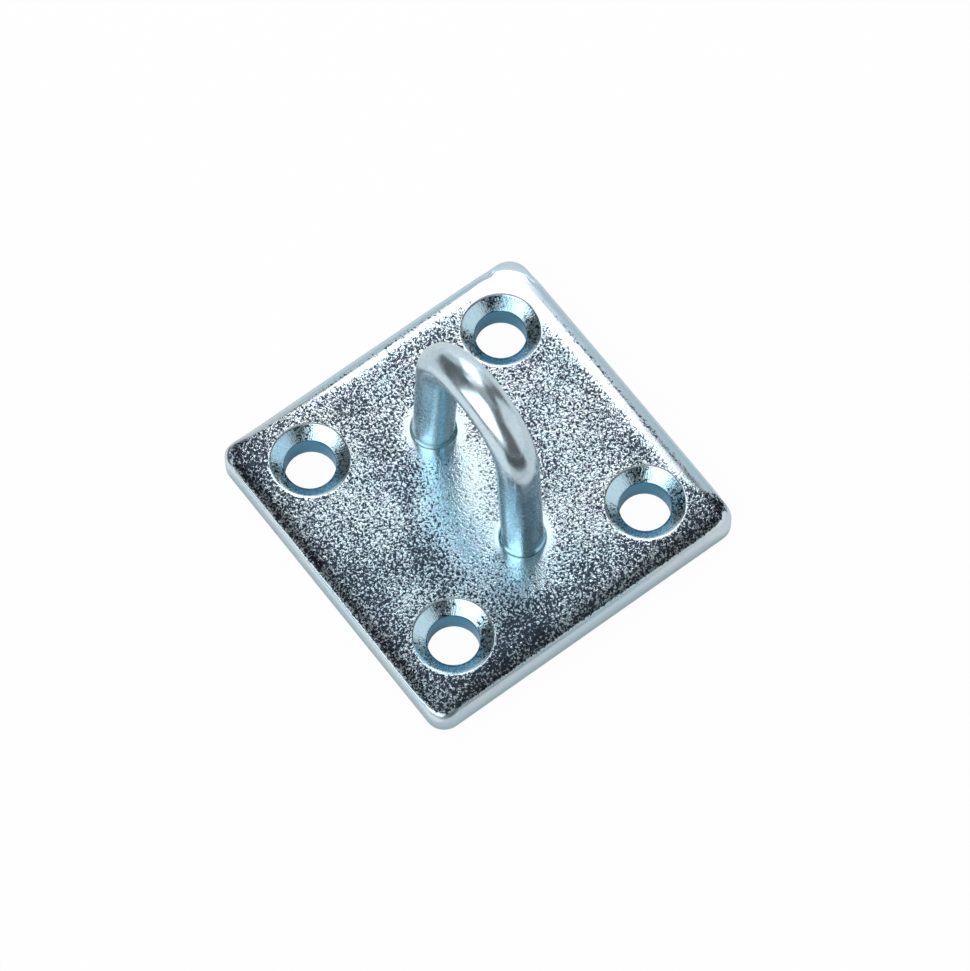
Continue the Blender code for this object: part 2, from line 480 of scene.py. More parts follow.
plate = add_piece("eye_plate_base", make_plate(), "base_plate")

# %% [markdown]
# ## Where the plate is grainy, pitted, tooled or painted with shade
# One material covers the whole plate, but its finish isn't the same all over. The flat is grainy and pitted,
# less so in worn strips before the feet and more so in a few dense ones. The rolled edges and the ground
# round each foot are smooth. The cones carry tool marks and three pitted parts. Shade is painted in a deeper
# blue in the bores and a cyan tint on the cones, where the metal mirrors itself, and in a darker teal down
# the foot of the sides, where they mirror the floor's contact shadow. Weights that are painted by hand could
# say all this. Here a formula stores them in the mesh as named attributes, which the material reads. A pair
# of values says where a mark starts to change and where it has changed in full.

# %% Distances on the plate
def nearest_hole(x, y):
    """Distance from the nearest screw hole's axis, and the direction from it."""
    hole_x, hole_y = min(screw_holes, key=lambda hole: math.hypot(x - hole[0], y - hole[1]))
    away = Vector((x - hole_x, y - hole_y))
    return away.length, away.normalized()


def rim_distance(x, y):
    """Distance in from the plate's outline, which is a square with round corners."""
    u, v = abs(x) - (HALF_SIDE - CORNER_RADIUS), abs(y) - (HALF_SIDE - CORNER_RADIUS)
    if min(u, v) > 0.0:
        return CORNER_RADIUS - math.hypot(u, v)
    return HALF_SIDE - max(abs(x), abs(y))


def strip_distance(strips, x, y, near_side=1.0):
    """Distance from the nearest of some strips. On a strip's near side it counts near_side times."""
    gaps = []
    for first, last in strips:
        start = Vector(first) * MM
        run = Vector(last) * MM - start
        from_start = Vector((x, y)) - start
        share = min(max(from_start.dot(run) / run.length_squared, 0.0), 1.0)
        off = from_start - run * share
        gaps.append(off.length * (near_side if run.cross(off) < 0.0 else 1.0))
    return min(gaps)


print("rim distance of a screw hole mm", round(rim_distance(HOLE_REACH, HOLE_REACH) / MM, 2))

# %% Pits along the edges and on the cones
PITS_NEAR = (-0.3 * MM, 0.05 * MM)
PITS_FAR_RIGHT = (2.6 * MM, 4.4 * MM)
PITS_FAR_LEFT = (2.0 * MM, 3.4 * MM)
PITS_RIGHT_END = (0.15 * MM, 0.6 * MM)
RIGHT_END = (18.5 * MM, 21.0 * MM)
RIGHT_END_ACROSS = (0.0, 1.5 * MM)
EDGE_LINE_RIGHT = 1.8 * MM
EDGE_LINE_LEFT = 1.65 * MM
EDGE_LINE_HALF = 0.55 * MM
CONE_PITS = 0.5
CONE_PITTED = [((0.59, 0.81), 0.6), ((-0.15, -0.99), 0.78), ((-0.91, 0.41), 0.9)]


def edge_pits(x, y, inset, far, left):
    """How pitted the roll is: to the very edge at the near sides, only in a thin line at the far sides.

    The far right side is pitted to its edge at its right end only.
    """
    width = edge_sizes(x / HALF_SIDE, y / HALF_SIDE)[0]
    right_end = smooth_step(*RIGHT_END, x) * smooth_step(*RIGHT_END_ACROSS, y - x)
    ends = []
    for near, far_right, far_left, at_end in zip(PITS_NEAR, PITS_FAR_RIGHT, PITS_FAR_LEFT, PITS_RIGHT_END):
        along_side = lerp(width + near, lerp(far_right, far_left, left), far)
        ends.append(lerp(along_side, at_end, right_end))
    line_place = lerp(EDGE_LINE_RIGHT, EDGE_LINE_LEFT, left)
    line = 1.0 - smooth_step(0.0, EDGE_LINE_HALF, abs(inset - line_place))
    return smooth_step(*ends, inset), far * line


def cone_pits(direction):
    """Three parts of each cone, given by a direction and the cosine where they start, are pitted."""
    shares = [smooth_step(start, 1.0, direction.dot(Vector(middle))) for middle, start in CONE_PITTED]
    return CONE_PITS * max(shares)


print("pitted parts of a cone", len(CONE_PITTED))

# %% Grain, pits and tint of the front
FAR_ON_LEFT = (0.1, 0.4)
FAR_ON_RIGHT = (-0.02, 0.16)
FAR_CORNER = (0.6, 0.85)
NEAR_CORNER = (0.5, 0.85)
NEAR_HALF = (-0.1, 0.3)
NEAR_EDGE = (3.0 * MM, 11.0 * MM)
FAR_EDGE = (4.0 * MM, 10.0 * MM)
FOOT_HALO = (3.4 * MM, 5.0 * MM)
RIM_CLEAR = (0.0, 0.45 * MM)
# Strips of the plate in mm, from one end to the other.
WORN_STRIPS = [((-9.8, 0.0), (0.7, -7.7)), ((10.0, 0.0), (13.5, -3.0)), ((-2.5, -1.0), (6.5, -7.0))]
WORN_REACH = (1.8 * MM, 6.5 * MM)
NEAR_SIDE_FALL = 1.8
DENSE_STRIPS = [((-19.0, -7.5), (-12.0, -7.0)), ((-5.8, -6.2), (9.0, -13.5)), ((20.0, -4.0), (21.5, -14.0))]
DENSE_REACH = (1.2 * MM, 3.4 * MM)
GRAIN_NEAR = (0.5 * MM, 3.0 * MM)
GRAIN_FAR = (2.0 * MM, 4.8 * MM)
WORN_GRAIN = 0.24
CORNER_SMOOTHING = 0.8
PITS_MIDDLE = 0.16
PITS_OUTSIDE = 0.55
PITS_NEAR_EDGE = 0.22
PITS_FAR_EDGE = 0.1
EDGE_LINE_PITS = 0.4
DENSE_PITS = 0.22
NEAR_CORNER_PITS = 0.15
RIM_TINT = 0.4
RIM_TINT_REACH = (1.1 * MM, 2.0 * MM)
MIDDLE_TINT = 0.25
NEAR_TINT = 0.2


def front_marks(x, y, inset, hole_gap, foot_gap):
    """Grain, pits and tint of a point of the front, and the tint that the rolled rim would have there."""
    toward_far = (y - x) / (2 * HALF_SIDE)
    left = 1.0 if HALF_SIDE + x < HALF_SIDE - y else 0.0
    far = smooth_step(*(FAR_ON_LEFT if left else FAR_ON_RIGHT), toward_far)
    far_corner = smooth_step(*FAR_CORNER, toward_far)
    near_edge = 1.0 - smooth_step(*NEAR_EDGE, min(HALF_SIDE - x, HALF_SIDE + y))
    far_edge = 1.0 - smooth_step(*FAR_EDGE, min(HALF_SIDE + x, HALF_SIDE - y))
    outside = smooth_step(*WORN_REACH, strip_distance(WORN_STRIPS, x, y, NEAR_SIDE_FALL))
    dense = 1.0 - smooth_step(*DENSE_REACH, strip_distance(DENSE_STRIPS, x, y))
    clear = smooth_step(*FOOT_HALO, foot_gap) * smooth_step(*RIM_CLEAR, hole_gap)
    rough = smooth_step(lerp(GRAIN_NEAR[0], GRAIN_FAR[0], far), lerp(GRAIN_NEAR[1], GRAIN_FAR[1], far), inset)
    grain = clear * rough * lerp(WORN_GRAIN, 1.0, outside) * (1.0 - CORNER_SMOOTHING * far_corner)
    spots = lerp(PITS_MIDDLE, PITS_OUTSIDE, outside) + PITS_NEAR_EDGE * near_edge + PITS_FAR_EDGE * far_edge
    spots += DENSE_PITS * dense + NEAR_CORNER_PITS * smooth_step(*NEAR_CORNER, -toward_far)
    body, line = edge_pits(x, y, inset, far, left)
    pits = clear * max(body * spots, EDGE_LINE_PITS * line) * (1.0 - far_corner)
    rim_tint = RIM_TINT * far * (1.0 - smooth_step(*RIM_TINT_REACH, inset))
    near_tint = NEAR_TINT * smooth_step(*NEAR_HALF, -toward_far)
    tint = rim_tint if rim_tint > 0.0 else lerp(MIDDLE_TINT, near_tint, outside)
    return grain, pits, tint, rim_tint


print("strips on the plate: worn", len(WORN_STRIPS), "dense", len(DENSE_STRIPS))

# %% All marks of the plate
FACES_FRONT = 0.5
# Cyan share on the cones: painted shade of the hollow, where the metal mirrors itself.
CONE_SHADE_TINT = 0.6
SATIN = (0.5 * MM, 1.2 * MM)
STAIN_REACH = 0.35 * MM
SIDE_REACH = 1.0 * MM
# Heights over which the painted shade at the foot of the sides fades out.
FOOT_SHADE_HEIGHTS = (0.3 * MM, 3.2 * MM)
PLATE_MARKS = ("grain", "pits", "tint", "bore", "stain", "satin", "tooled", "painted_foot_shade")


def plate_marks(point, normal):
    """What PLATE_MARKS lists, for one point of the plate, and its place round the nearest hole."""
    x, y, z = point
    distance, direction = nearest_hole(x, y)
    in_bore = distance < BORE_RADIUS + LIP
    on_cone = not in_bore and distance < SINK_RIM - LIP
    on_front = normal.z > FACES_FRONT and not in_bore and not on_cone
    inset = rim_distance(x, y)
    feet = [math.hypot(x - leg_x, y) for leg_x in LEG_X]
    grain, pits, tint, rim_tint = front_marks(x, y, inset, distance - SINK_RIM, min(feet))
    if on_cone:
        # A cone gets its cyan share as painted shade.
        grain, pits, tint = 0.0, cone_pits(direction), CONE_SHADE_TINT
    elif not on_front:
        grain, pits, tint = 0.0, 0.0, rim_tint
    satin = 0.0 if in_bore or on_cone else 1.0 - smooth_step(*SATIN, inset)
    stain = 1.0 - smooth_step(LEG_HOLE, LEG_HOLE + STAIN_REACH, feet[0])
    # Painted shade at the foot of each side, darker towards the bottom: the floor's contact shadow mirrored.
    on_side = inset < SIDE_REACH and not on_front
    painted_foot_shade = 1.0 - smooth_step(*FOOT_SHADE_HEIGHTS, z) if on_side else 0.0
    turned = (direction.x, direction.y, distance / SINK_WIDTH)
    return grain, pits, tint, float(in_bore), stain, satin, float(on_cone), painted_foot_shade, turned


def store_marks(mesh, kinds, marks_at):
    """Stores what marks_at gives for each vertex as attributes of the mesh."""
    rows = [marks_at(vert.co, vert.normal) for vert in mesh.vertices]
    for (name, kind), column in zip(kinds, zip(*rows)):
        layer = mesh.attributes.new(name, kind, "POINT")
        if kind == "FLOAT":
            layer.data.foreach_set("value", column)
        else:
            layer.data.foreach_set("vector", [number for vector in column for number in vector])
    print(mesh.name, "marks", [name for name, kind in kinds])


plate_kinds = [(name, "FLOAT") for name in PLATE_MARKS] + [("turned", "FLOAT_VECTOR")]
store_marks(plate.data, plate_kinds, plate_marks)

# %% [markdown]
# ## The bow
# A round bar is bent over a former and its two ends are riveted into the plate. A curve with a bevel makes
# the same tube, but rings that are placed one by one can also flare at the feet and swell into rivet heads.

# %% Path of the bow
BEND_RINGS = 72
LEG_RINGS = 40
LEG_CROWDING = 1.5
SHANK_PLAY = 0.05 * MM
# Height above the recess in mm, and share of the head's radius.
HEAD_PROFILE = [(-0.06, 0.05), (-0.06, 0.3), (-0.04, 0.6), (0.0, 0.85), (0.05, 0.95), (0.15, 1.0)]
# Depth below the front in mm, and share of the way from the bar's radius to the foot's.
SHANK_PROFILE = [(0.8, 0.0), (0.3, 0.6), (0.1, 1.0)]


def tangent_angle(foot_x, side):
    """Angle on the bend's circle where the leg from this foot just touches it."""
    to_centre = Vector((BEND_X - foot_x, BEND_Z - THICKNESS))
    lean = math.atan2(to_centre.y, to_centre.x) - side * math.asin(BEND_RADIUS / to_centre.length)
    return (lean - side * math.pi / 2 + math.pi / 2) % (2 * math.pi) - math.pi / 2


def rivet_profile():
    """(height, radius) from the middle of the hammered head up to the foot."""
    head = [(RIVET_RECESS + rise * MM, share * RIVET_RADIUS) for rise, share in HEAD_PROFILE]
    shank = [(THICKNESS - depth * MM, lerp(BAR_RADIUS, FOOT_RADIUS, share)) for depth, share in SHANK_PROFILE]
    return head + [(RIVET_DEPTH, BAR_RADIUS + SHANK_PLAY)] + shank


def leg_path(foot_x, top):
    """(place, radius, direction) of each ring from the rivet head up to the bend."""
    foot = Vector((foot_x, THICKNESS))
    lean = math.atan2(top.y - foot.y, top.x - foot.x)
    rings = [(Vector((foot.x, z)), radius, math.pi / 2) for z, radius in rivet_profile()]
    for step in range(LEG_RINGS):
        share = (step / LEG_RINGS) ** LEG_CROWDING
        rise = share * (top - foot).length
        flare = max(1.0 - rise / FOOT_HEIGHT, 0.0) ** 2 * (FOOT_RADIUS - BAR_RADIUS)
        rings.append((foot.lerp(top, share), BAR_RADIUS + flare, lean))
    return rings


def bow_path():
    first, last = tangent_angle(LEG_X[0], -1), tangent_angle(LEG_X[1], 1)
    bend = []
    for step in range(BEND_RINGS + 1):
        angle = lerp(first, last, step / BEND_RINGS)
        place = Vector((BEND_X + BEND_RADIUS * math.cos(angle), BEND_Z + BEND_RADIUS * math.sin(angle)))
        bend.append((place, BAR_RADIUS, angle - math.pi / 2))
    left, right = leg_path(LEG_X[0], bend[0][0]), leg_path(LEG_X[1], bend[-1][0])
    return left + bend + [(place, radius, turn + math.pi) for place, radius, turn in reversed(right)]


print("bend runs from", round(math.degrees(tangent_angle(LEG_X[0], -1)), 1),
      "to", round(math.degrees(tangent_angle(LEG_X[1], 1)), 1), "degrees")

# %% Make the bow
BAR_SIDES = 72
SIDEWAYS = Vector((0.0, 1.0, 0.0))


def make_bow():
    bm = bmesh.new()
    rings = []
    for place, radius, turn in bow_path():
        out = Vector((-math.sin(turn), 0.0, math.cos(turn)))
        centre = Vector((place.x, 0.0, place.y))
        points = []
        for k in range(BAR_SIDES):
            angle = 2 * math.pi * k / BAR_SIDES
            points.append(centre + radius * (math.cos(angle) * out + math.sin(angle) * SIDEWAYS))
        rings.append(next_ring(bm, rings[-1], points) if rings else [bm.verts.new(point) for point in points])
    bm.faces.new(rings[0])
    bm.faces.new(reversed(rings[-1]))
    return mesh_of(bm, "eye_plate_bow")


bow = add_piece("eye_plate_bow", make_bow(), "staple")

# %% Marks on the bow
BEND_TINT = 0.2
# Cyan share painted on the legs as the plate's reflection, and under the bend as shade.
LEG_REFLECTION_AND_SHADE = 0.85
# Heights over which the legs' painted reflection fades out towards the bend.
LEG_REFLECTION_HEIGHTS = (BEND_Z - 1.0 * MM, BEND_Z + 2.0 * MM)
INNER_FACING = (0.0, 0.5)


def place_on_bar(x, z):
    """How far out from the bar's middle line a point lies, and its place along the bar."""
    right = x > BEND_X
    angle = tangent_angle(LEG_X[1], 1) if right else tangent_angle(LEG_X[0], -1)
    top = Vector((BEND_X + BEND_RADIUS * math.cos(angle), BEND_Z + BEND_RADIUS * math.sin(angle)))
    from_bend = Vector((x - BEND_X, z - BEND_Z))
    if z > top.y:
        return from_bend.length - BEND_RADIUS, BEND_RADIUS * math.atan2(from_bend.y, from_bend.x)
    middle = lerp(LEG_X[right], top.x, (z - THICKNESS) / (top.y - THICKNESS))
    down = top.y - z
    if right:
        return x - middle, BEND_RADIUS * angle - down
    return middle - x, BEND_RADIUS * angle + down


def bow_marks(point, normal):
    """A blue tint painted on the legs as the plate's reflection and on the inside of the bend as shade,
    and a place on the bar for its draw lines.
    """
    x, y, z = point
    bend = Vector((x - BEND_X, 0.0, z - BEND_Z))
    inner = smooth_step(*INNER_FACING, -normal.dot(bend.normalized())) if z > BEND_Z else 0.0
    legs = 1.0 - smooth_step(*LEG_REFLECTION_HEIGHTS, z)
    out, along = place_on_bar(x, z)
    return max(BEND_TINT, LEG_REFLECTION_AND_SHADE * max(legs, inner)), (y / BAR_RADIUS, out / BAR_RADIUS, along / BAR_RADIUS)


store_marks(bow.data, [("tint", "FLOAT"), ("drawn", "FLOAT_VECTOR")], bow_marks)

# %% [markdown]
# ## Zinc, in shared node groups
# Both pieces are zinc plated steel with a blue passivate. A shader node group is a small machine with named
# inputs and outputs: it is built once and placed in each material with its own values. Three are made here.
# The grain is a fine, sparkling crystal pattern. The passivate is a film of uneven thickness that tints the
# metal from silver to blue and lilac. Its Blue input mixes in cyan, which the materials use as a plain tint
# in places and as painted shade and painted reflection in others. The tool marks are thin lines, stretched
# along one direction.

# %% Helpers for nodes
def add_node(tree, kind, inputs=None, **settings):
    """A node with its settings. An input is a plain value, or another node's output to link."""
    node = tree.nodes.new(kind)
    for name, value in settings.items():
        setattr(node, name, value)
    for name, value in (inputs or {}).items():
        if isinstance(value, bpy.types.NodeSocket):
            tree.links.new(value, node.inputs[name])
        else:
            node.inputs[name].default_value = value
    return node


def new_group(name, inputs, outputs):
    """An empty node group with named sockets. Returns it with its input sockets and its output node."""
    group = bpy.data.node_groups.new(name, "ShaderNodeTree")
    for label, kind in inputs:
        group.interface.new_socket(label, in_out="INPUT", socket_type="NodeSocket" + kind)
    for label, kind in outputs:
        group.interface.new_socket(label, in_out="OUTPUT", socket_type="NodeSocket" + kind)
    given = group.nodes.new("NodeGroupInput").outputs
    return group, given, group.nodes.new("NodeGroupOutput")


def math_node(tree, operation, a, b):
    return add_node(tree, "ShaderNodeMath", {0: a, 1: b}, operation=operation).outputs[0]


def colour_mix(tree, share, a, b):
    node = add_node(tree, "ShaderNodeMix", {"Factor": share, "A": a, "B": b}, data_type="RGBA")
    return node.outputs["Result"]


def noise_node(tree, vector, scale, detail, **more):
    values = {"Vector": vector, "Scale": scale, "Detail": detail, **more}
    return add_node(tree, "ShaderNodeTexNoise", values).outputs["Fac"]


def spread(tree, value, low, high, new_low=0.0, new_high=1.0):
    """Spreads a range of values over a new range, and clips what lies outside."""
    values = {"Value": value, "From Min": low, "From Max": high, "To Min": new_low, "To Max": new_high}
    return add_node(tree, "ShaderNodeMapRange", values).outputs["Result"]


print("node helpers ready")

# %% Grain group
NOISE_RANGE = (0.3, 0.7)
PATCH_SCALE = 0.06
PATCH_SHIFT = 0.04
PIT_LEVELS = (0.34, 0.6)
PIT_EDGE = (-0.015, 0.03)


def make_grain_group():
    sockets_in = [("Vector", "Vector"), ("Scale", "Float"), ("Amount", "Float")]
    group, given, result = new_group("zinc_grain", sockets_in, [("Height", "Float"), ("Pits", "Float")])
    fine = noise_node(group, given["Vector"], given["Scale"], 1.0, Roughness=0.6, Distortion=0.8)
    patch_scale = math_node(group, "MULTIPLY", given["Scale"], PATCH_SCALE)
    patches = noise_node(group, given["Vector"], patch_scale, 2.0)
    shift = spread(group, patches, *NOISE_RANGE, -PATCH_SHIFT, PATCH_SHIFT)
    level = math_node(group, "ADD", spread(group, given["Amount"], 0.0, 1.0, *PIT_LEVELS), shift)
    below = math_node(group, "SUBTRACT", level, fine)
    group.links.new(fine, result.inputs["Height"])
    group.links.new(spread(group, below, *PIT_EDGE), result.inputs["Pits"])
    return group


grain_group = make_grain_group()
print("group", grain_group.name)

# %% Passivate group
SILVER = (0.66, 0.755, 0.80, 1.0)
SEA_BLUE = (0.59, 0.735, 0.81, 1.0)
LILAC = (0.635, 0.70, 0.82, 1.0)
CYAN = (0.47, 0.76, 0.89, 1.0)
SMALL_SCALE = 3.7
BLUE_CLOUDS = (0.42, 0.62)
LILAC_CLOUDS = (0.5, 0.68)
DULLING = (0.75, 1.25)


def make_passivate_group():
    sockets_in = [("Vector", "Vector"), ("Scale", "Float"), ("Shine", "Float"), ("Blue", "Float")]
    sockets_out = [("Color", "Color"), ("Roughness", "Float")]
    group, given, result = new_group("blue_passivate", sockets_in, sockets_out)
    broad = noise_node(group, given["Vector"], given["Scale"], 3.0)
    small_scale = math_node(group, "MULTIPLY", given["Scale"], SMALL_SCALE)
    small = noise_node(group, given["Vector"], small_scale, 2.0)
    tone = colour_mix(group, spread(group, broad, *BLUE_CLOUDS), SILVER, SEA_BLUE)
    tone = colour_mix(group, spread(group, small, *LILAC_CLOUDS), tone, LILAC)
    # Cyan from the Blue input: a plain tint in places, painted shade and painted reflection in others.
    tone = colour_mix(group, given["Blue"], tone, CYAN)
    dull = spread(group, small, *NOISE_RANGE, *DULLING)
    group.links.new(tone, result.inputs["Color"])
    group.links.new(math_node(group, "MULTIPLY", given["Shine"], dull), result.inputs["Roughness"])
    return group


passivate_group = make_passivate_group()
print("group", passivate_group.name)

# %% Tool mark group
LINE_RANGE = (0.58, 0.68)


def make_tool_mark_group():
    sockets_in = [("Vector", "Vector"), ("Stretch", "Vector")]
    group, given, result = new_group("tool_marks", sockets_in, [("Height", "Float"), ("Lines", "Float")])
    stretched = add_node(group, "ShaderNodeVectorMath", {0: given["Vector"], 1: given["Stretch"]},
                         operation="MULTIPLY")
    lines = noise_node(group, stretched.outputs["Vector"], 1.0, 3.0, Roughness=0.6)
    group.links.new(lines, result.inputs["Height"])
    group.links.new(spread(group, lines, *LINE_RANGE), result.inputs["Lines"])
    return group


tool_mark_group = make_tool_mark_group()
print("group", tool_mark_group.name)

# %% [markdown]
# ## The two zinc materials
# Each material places the groups, reads its mesh's marks and ends in one Principled BSDF with full Metallic.
# The plate's grain is bump and dark pits at once: the bump tilts the crystals between light and dark room,
# and the pits keep the deepest ones dark.

# %% Zinc of the plate
# Deep blue is painted shade in the bores, and the colour of the tool-mark streaks.
DEEP_BLUE = (0.16, 0.42, 0.58, 1.0)
PIT_COLOUR = (0.045, 0.062, 0.09, 1.0)
STAIN_COLOUR = (0.78, 0.72, 0.56, 1.0)
# Colour of the painted shade at the foot of the sides.
PAINTED_FOOT_SHADE_COLOUR = (0.34, 0.54, 0.58, 1.0)
PLATE_GRAIN_SCALE = 2900.0
PLATE_GRAIN_HEIGHT = 0.11 * MM
PLATE_FILM_SCALE = 130.0
PLATE_SHINE = 0.14
TURNED_STRETCH = (20.0, 20.0, 2.5)
TOOL_MARK_HEIGHT = 0.05 * MM
EDGE_ROUGHNESS = 0.27
CONE_STREAKS = 0.42
PITS_FULL = 0.25
STAIN_SHARE = 0.6


def place_group(tree, group, **inputs):
    named = {name.title(): value for name, value in inputs.items()}
    return add_node(tree, "ShaderNodeGroup", named, node_tree=group).outputs


def mark(tree, name, output="Fac"):
    return add_node(tree, "ShaderNodeAttribute", attribute_name=name).outputs[output]


def new_metal(name):
    material = bpy.data.materials.new(name)
    material.use_nodes = True
    tree = material.node_tree
    tree.nodes["Principled BSDF"].inputs["Metallic"].default_value = 1.0
    position = add_node(tree, "ShaderNodeTexCoord").outputs["Object"]
    return material, tree, tree.nodes["Principled BSDF"], position


def plate_zinc():
    material, tree, shader, position = new_metal("zinc_plate")
    pitted = mark(tree, "pits")
    grain = place_group(tree, grain_group, vector=position, scale=PLATE_GRAIN_SCALE, amount=pitted)
    film = place_group(tree, passivate_group, vector=position, scale=PLATE_FILM_SCALE,
                       shine=PLATE_SHINE, blue=mark(tree, "tint"))
    turned = mark(tree, "turned", "Vector")
    marks = place_group(tree, tool_mark_group, vector=turned, stretch=TURNED_STRETCH)
    lines = math_node(tree, "MULTIPLY", marks["Lines"], mark(tree, "tooled"))
    scored = math_node(tree, "MULTIPLY", lines, CONE_STREAKS)
    # The bores turn deep blue as painted shade. The cones' tool lines take the same blue.
    bore_shade_and_lines = math_node(tree, "MAXIMUM", mark(tree, "bore"), scored)
    colour = colour_mix(tree, bore_shade_and_lines, film["Color"], DEEP_BLUE)
    pit_share = math_node(tree, "MULTIPLY", grain["Pits"], spread(tree, pitted, 0.0, PITS_FULL))
    colour = colour_mix(tree, pit_share, colour, PIT_COLOUR)
    stain = math_node(tree, "MULTIPLY", mark(tree, "stain"), STAIN_SHARE)
    colour = colour_mix(tree, stain, colour, STAIN_COLOUR)
    # Painted shade: the foot of each side darkens to teal, standing for the floor's contact shadow it
    # mirrors.
    colour = colour_mix(tree, mark(tree, "painted_foot_shade"), colour, PAINTED_FOOT_SHADE_COLOUR)
    tree.links.new(colour, shader.inputs["Base Color"])
    dull = spread(tree, mark(tree, "satin"), 0.0, 1.0, 0.0, EDGE_ROUGHNESS)
    tree.links.new(math_node(tree, "MAXIMUM", film["Roughness"], dull), shader.inputs["Roughness"])
    tooled = add_node(tree, "ShaderNodeBump", {
        "Height": marks["Height"], "Strength": mark(tree, "tooled"), "Distance": TOOL_MARK_HEIGHT})
    grainy = add_node(tree, "ShaderNodeBump", {
        "Height": grain["Height"], "Strength": mark(tree, "grain"), "Distance": PLATE_GRAIN_HEIGHT,
        "Normal": tooled.outputs["Normal"]})
    tree.links.new(grainy.outputs["Normal"], shader.inputs["Normal"])
    return material


plate.data.materials.append(plate_zinc())
print("material", plate.data.materials[0].name)

# %% Zinc of the bow
BOW_GRAIN_SCALE = 1600.0
BOW_GRAIN_HEIGHT = 0.0015 * MM
BOW_FILM_SCALE = 220.0
BOW_SHINE = 0.24
BOW_PITS = 0.08
DRAWN_STRETCH = (7.0, 7.0, 0.22)
DRAW_LINE_HEIGHT = 0.025 * MM
BEND_LINES = 0.3
LEG_STREAKS = 0.35


def bow_zinc():
    material, tree, shader, position = new_metal("zinc_bow")
    grain = place_group(tree, grain_group, vector=position, scale=BOW_GRAIN_SCALE, amount=0.0)
    # The tint mark carries the legs' painted reflection and the bend's painted shade into the film's cyan.
    legs = mark(tree, "tint")
    film = place_group(tree, passivate_group, vector=position, scale=BOW_FILM_SCALE,
                       shine=BOW_SHINE, blue=legs)
    drawn_place = mark(tree, "drawn", "Vector")
    marks = place_group(tree, tool_mark_group, vector=drawn_place, stretch=DRAWN_STRETCH)
    lines = math_node(tree, "MULTIPLY", marks["Lines"], legs)
    streaks = math_node(tree, "MULTIPLY", lines, LEG_STREAKS)
    colour = colour_mix(tree, streaks, film["Color"], DEEP_BLUE)
    colour = colour_mix(tree, math_node(tree, "MULTIPLY", grain["Pits"], BOW_PITS), colour, PIT_COLOUR)
    tree.links.new(colour, shader.inputs["Base Color"])
    tree.links.new(film["Roughness"], shader.inputs["Roughness"])
    drawn = add_node(tree, "ShaderNodeBump", {
        "Height": marks["Height"], "Strength": spread(tree, legs, 0.0, 1.0, BEND_LINES, 1.0),
        "Distance": DRAW_LINE_HEIGHT})
    grainy = add_node(tree, "ShaderNodeBump", {
        "Height": grain["Height"], "Distance": BOW_GRAIN_HEIGHT, "Normal": drawn.outputs["Normal"]})
    tree.links.new(grainy.outputs["Normal"], shader.inputs["Normal"])
    return material


bow.data.materials.append(bow_zinc())
print("material", bow.data.materials[0].name)

# %% [markdown]
# ## Camera
# The camera stands where the picture's perspective says: far away, with a long lens, and about 66 degrees
# above the floor. It is set from three directions of its own, so that its small roll needs no Euler angles.

# %% Camera
VIEW_AZIMUTH = math.radians(53.734)
VIEW_ELEVATION = math.radians(65.809)
VIEW_ROLL = math.radians(-0.803)
VIEW_DISTANCE = 749.0 * MM
VIEW_SLIDE = (0.99 * MM, 1.556 * MM)
LENS = 206.68

heading = Vector((-math.sin(VIEW_AZIMUTH), math.cos(VIEW_AZIMUTH), 0.0))
across = Vector((math.cos(VIEW_AZIMUTH), math.sin(VIEW_AZIMUTH), 0.0))
forward = heading * math.cos(VIEW_ELEVATION) - Vector((0.0, 0.0, math.sin(VIEW_ELEVATION)))
level_up = across.cross(forward)
right = math.cos(VIEW_ROLL) * across + math.sin(VIEW_ROLL) * level_up
up = -math.sin(VIEW_ROLL) * across + math.cos(VIEW_ROLL) * level_up

camera_data = bpy.data.cameras.new("camera")
camera_data.lens = LENS
camera_data.sensor_width = 36.0
camera_data.clip_start = 0.05
camera_data.clip_end = 20.0
camera = bpy.data.objects.new("camera", camera_data)
stand = -forward * VIEW_DISTANCE + right * VIEW_SLIDE[0] + up * VIEW_SLIDE[1]
turn = Matrix((right, up, -forward)).transposed().to_4x4()
camera.matrix_world = Matrix.Translation(stand) @ turn
bpy.context.scene.collection.objects.link(camera)
bpy.context.scene.camera = camera
print("camera stands at mm", [round(value / MM, 1) for value in stand])

# %% [markdown]
# ## Floor
# The floor is white paper. A paper that is only lit would come out grey beside a bright metal, so most of
# what the camera sees of it is an even white glow, and the rest is lit paper that keeps the shadow. The metal
# mirrors the lit paper, with only a little of the glow.

# %% Floor
FLOOR_HALF = 1.5
FLOOR_DROP = 0.05 * MM
PAPER = (0.92, 0.92, 0.92, 1.0)
GLOW_FOR_CAMERA = 0.965
GLOW_FOR_METAL = 0.05


def paper_material():
    material = bpy.data.materials.new("floor_paper")
    material.use_nodes = True
    tree = material.node_tree
    tree.nodes.remove(tree.nodes["Principled BSDF"])
    path = add_node(tree, "ShaderNodeLightPath").outputs
    seen = math_node(tree, "MULTIPLY", path["Is Camera Ray"], GLOW_FOR_CAMERA)
    through = math_node(tree, "MAXIMUM", path["Is Glossy Ray"], path["Is Transmission Ray"])
    mirrored = math_node(tree, "MULTIPLY", through, GLOW_FOR_METAL)
    paper = add_node(tree, "ShaderNodeBsdfDiffuse", {"Color": PAPER})
    glow = add_node(tree, "ShaderNodeEmission", {"Strength": 1.0})
    mix = add_node(tree, "ShaderNodeMixShader", {
        0: math_node(tree, "MAXIMUM", seen, mirrored), 1: paper.outputs["BSDF"], 2: glow.outputs["Emission"]})
    tree.links.new(mix.outputs["Shader"], tree.nodes["Material Output"].inputs["Surface"])
    return material


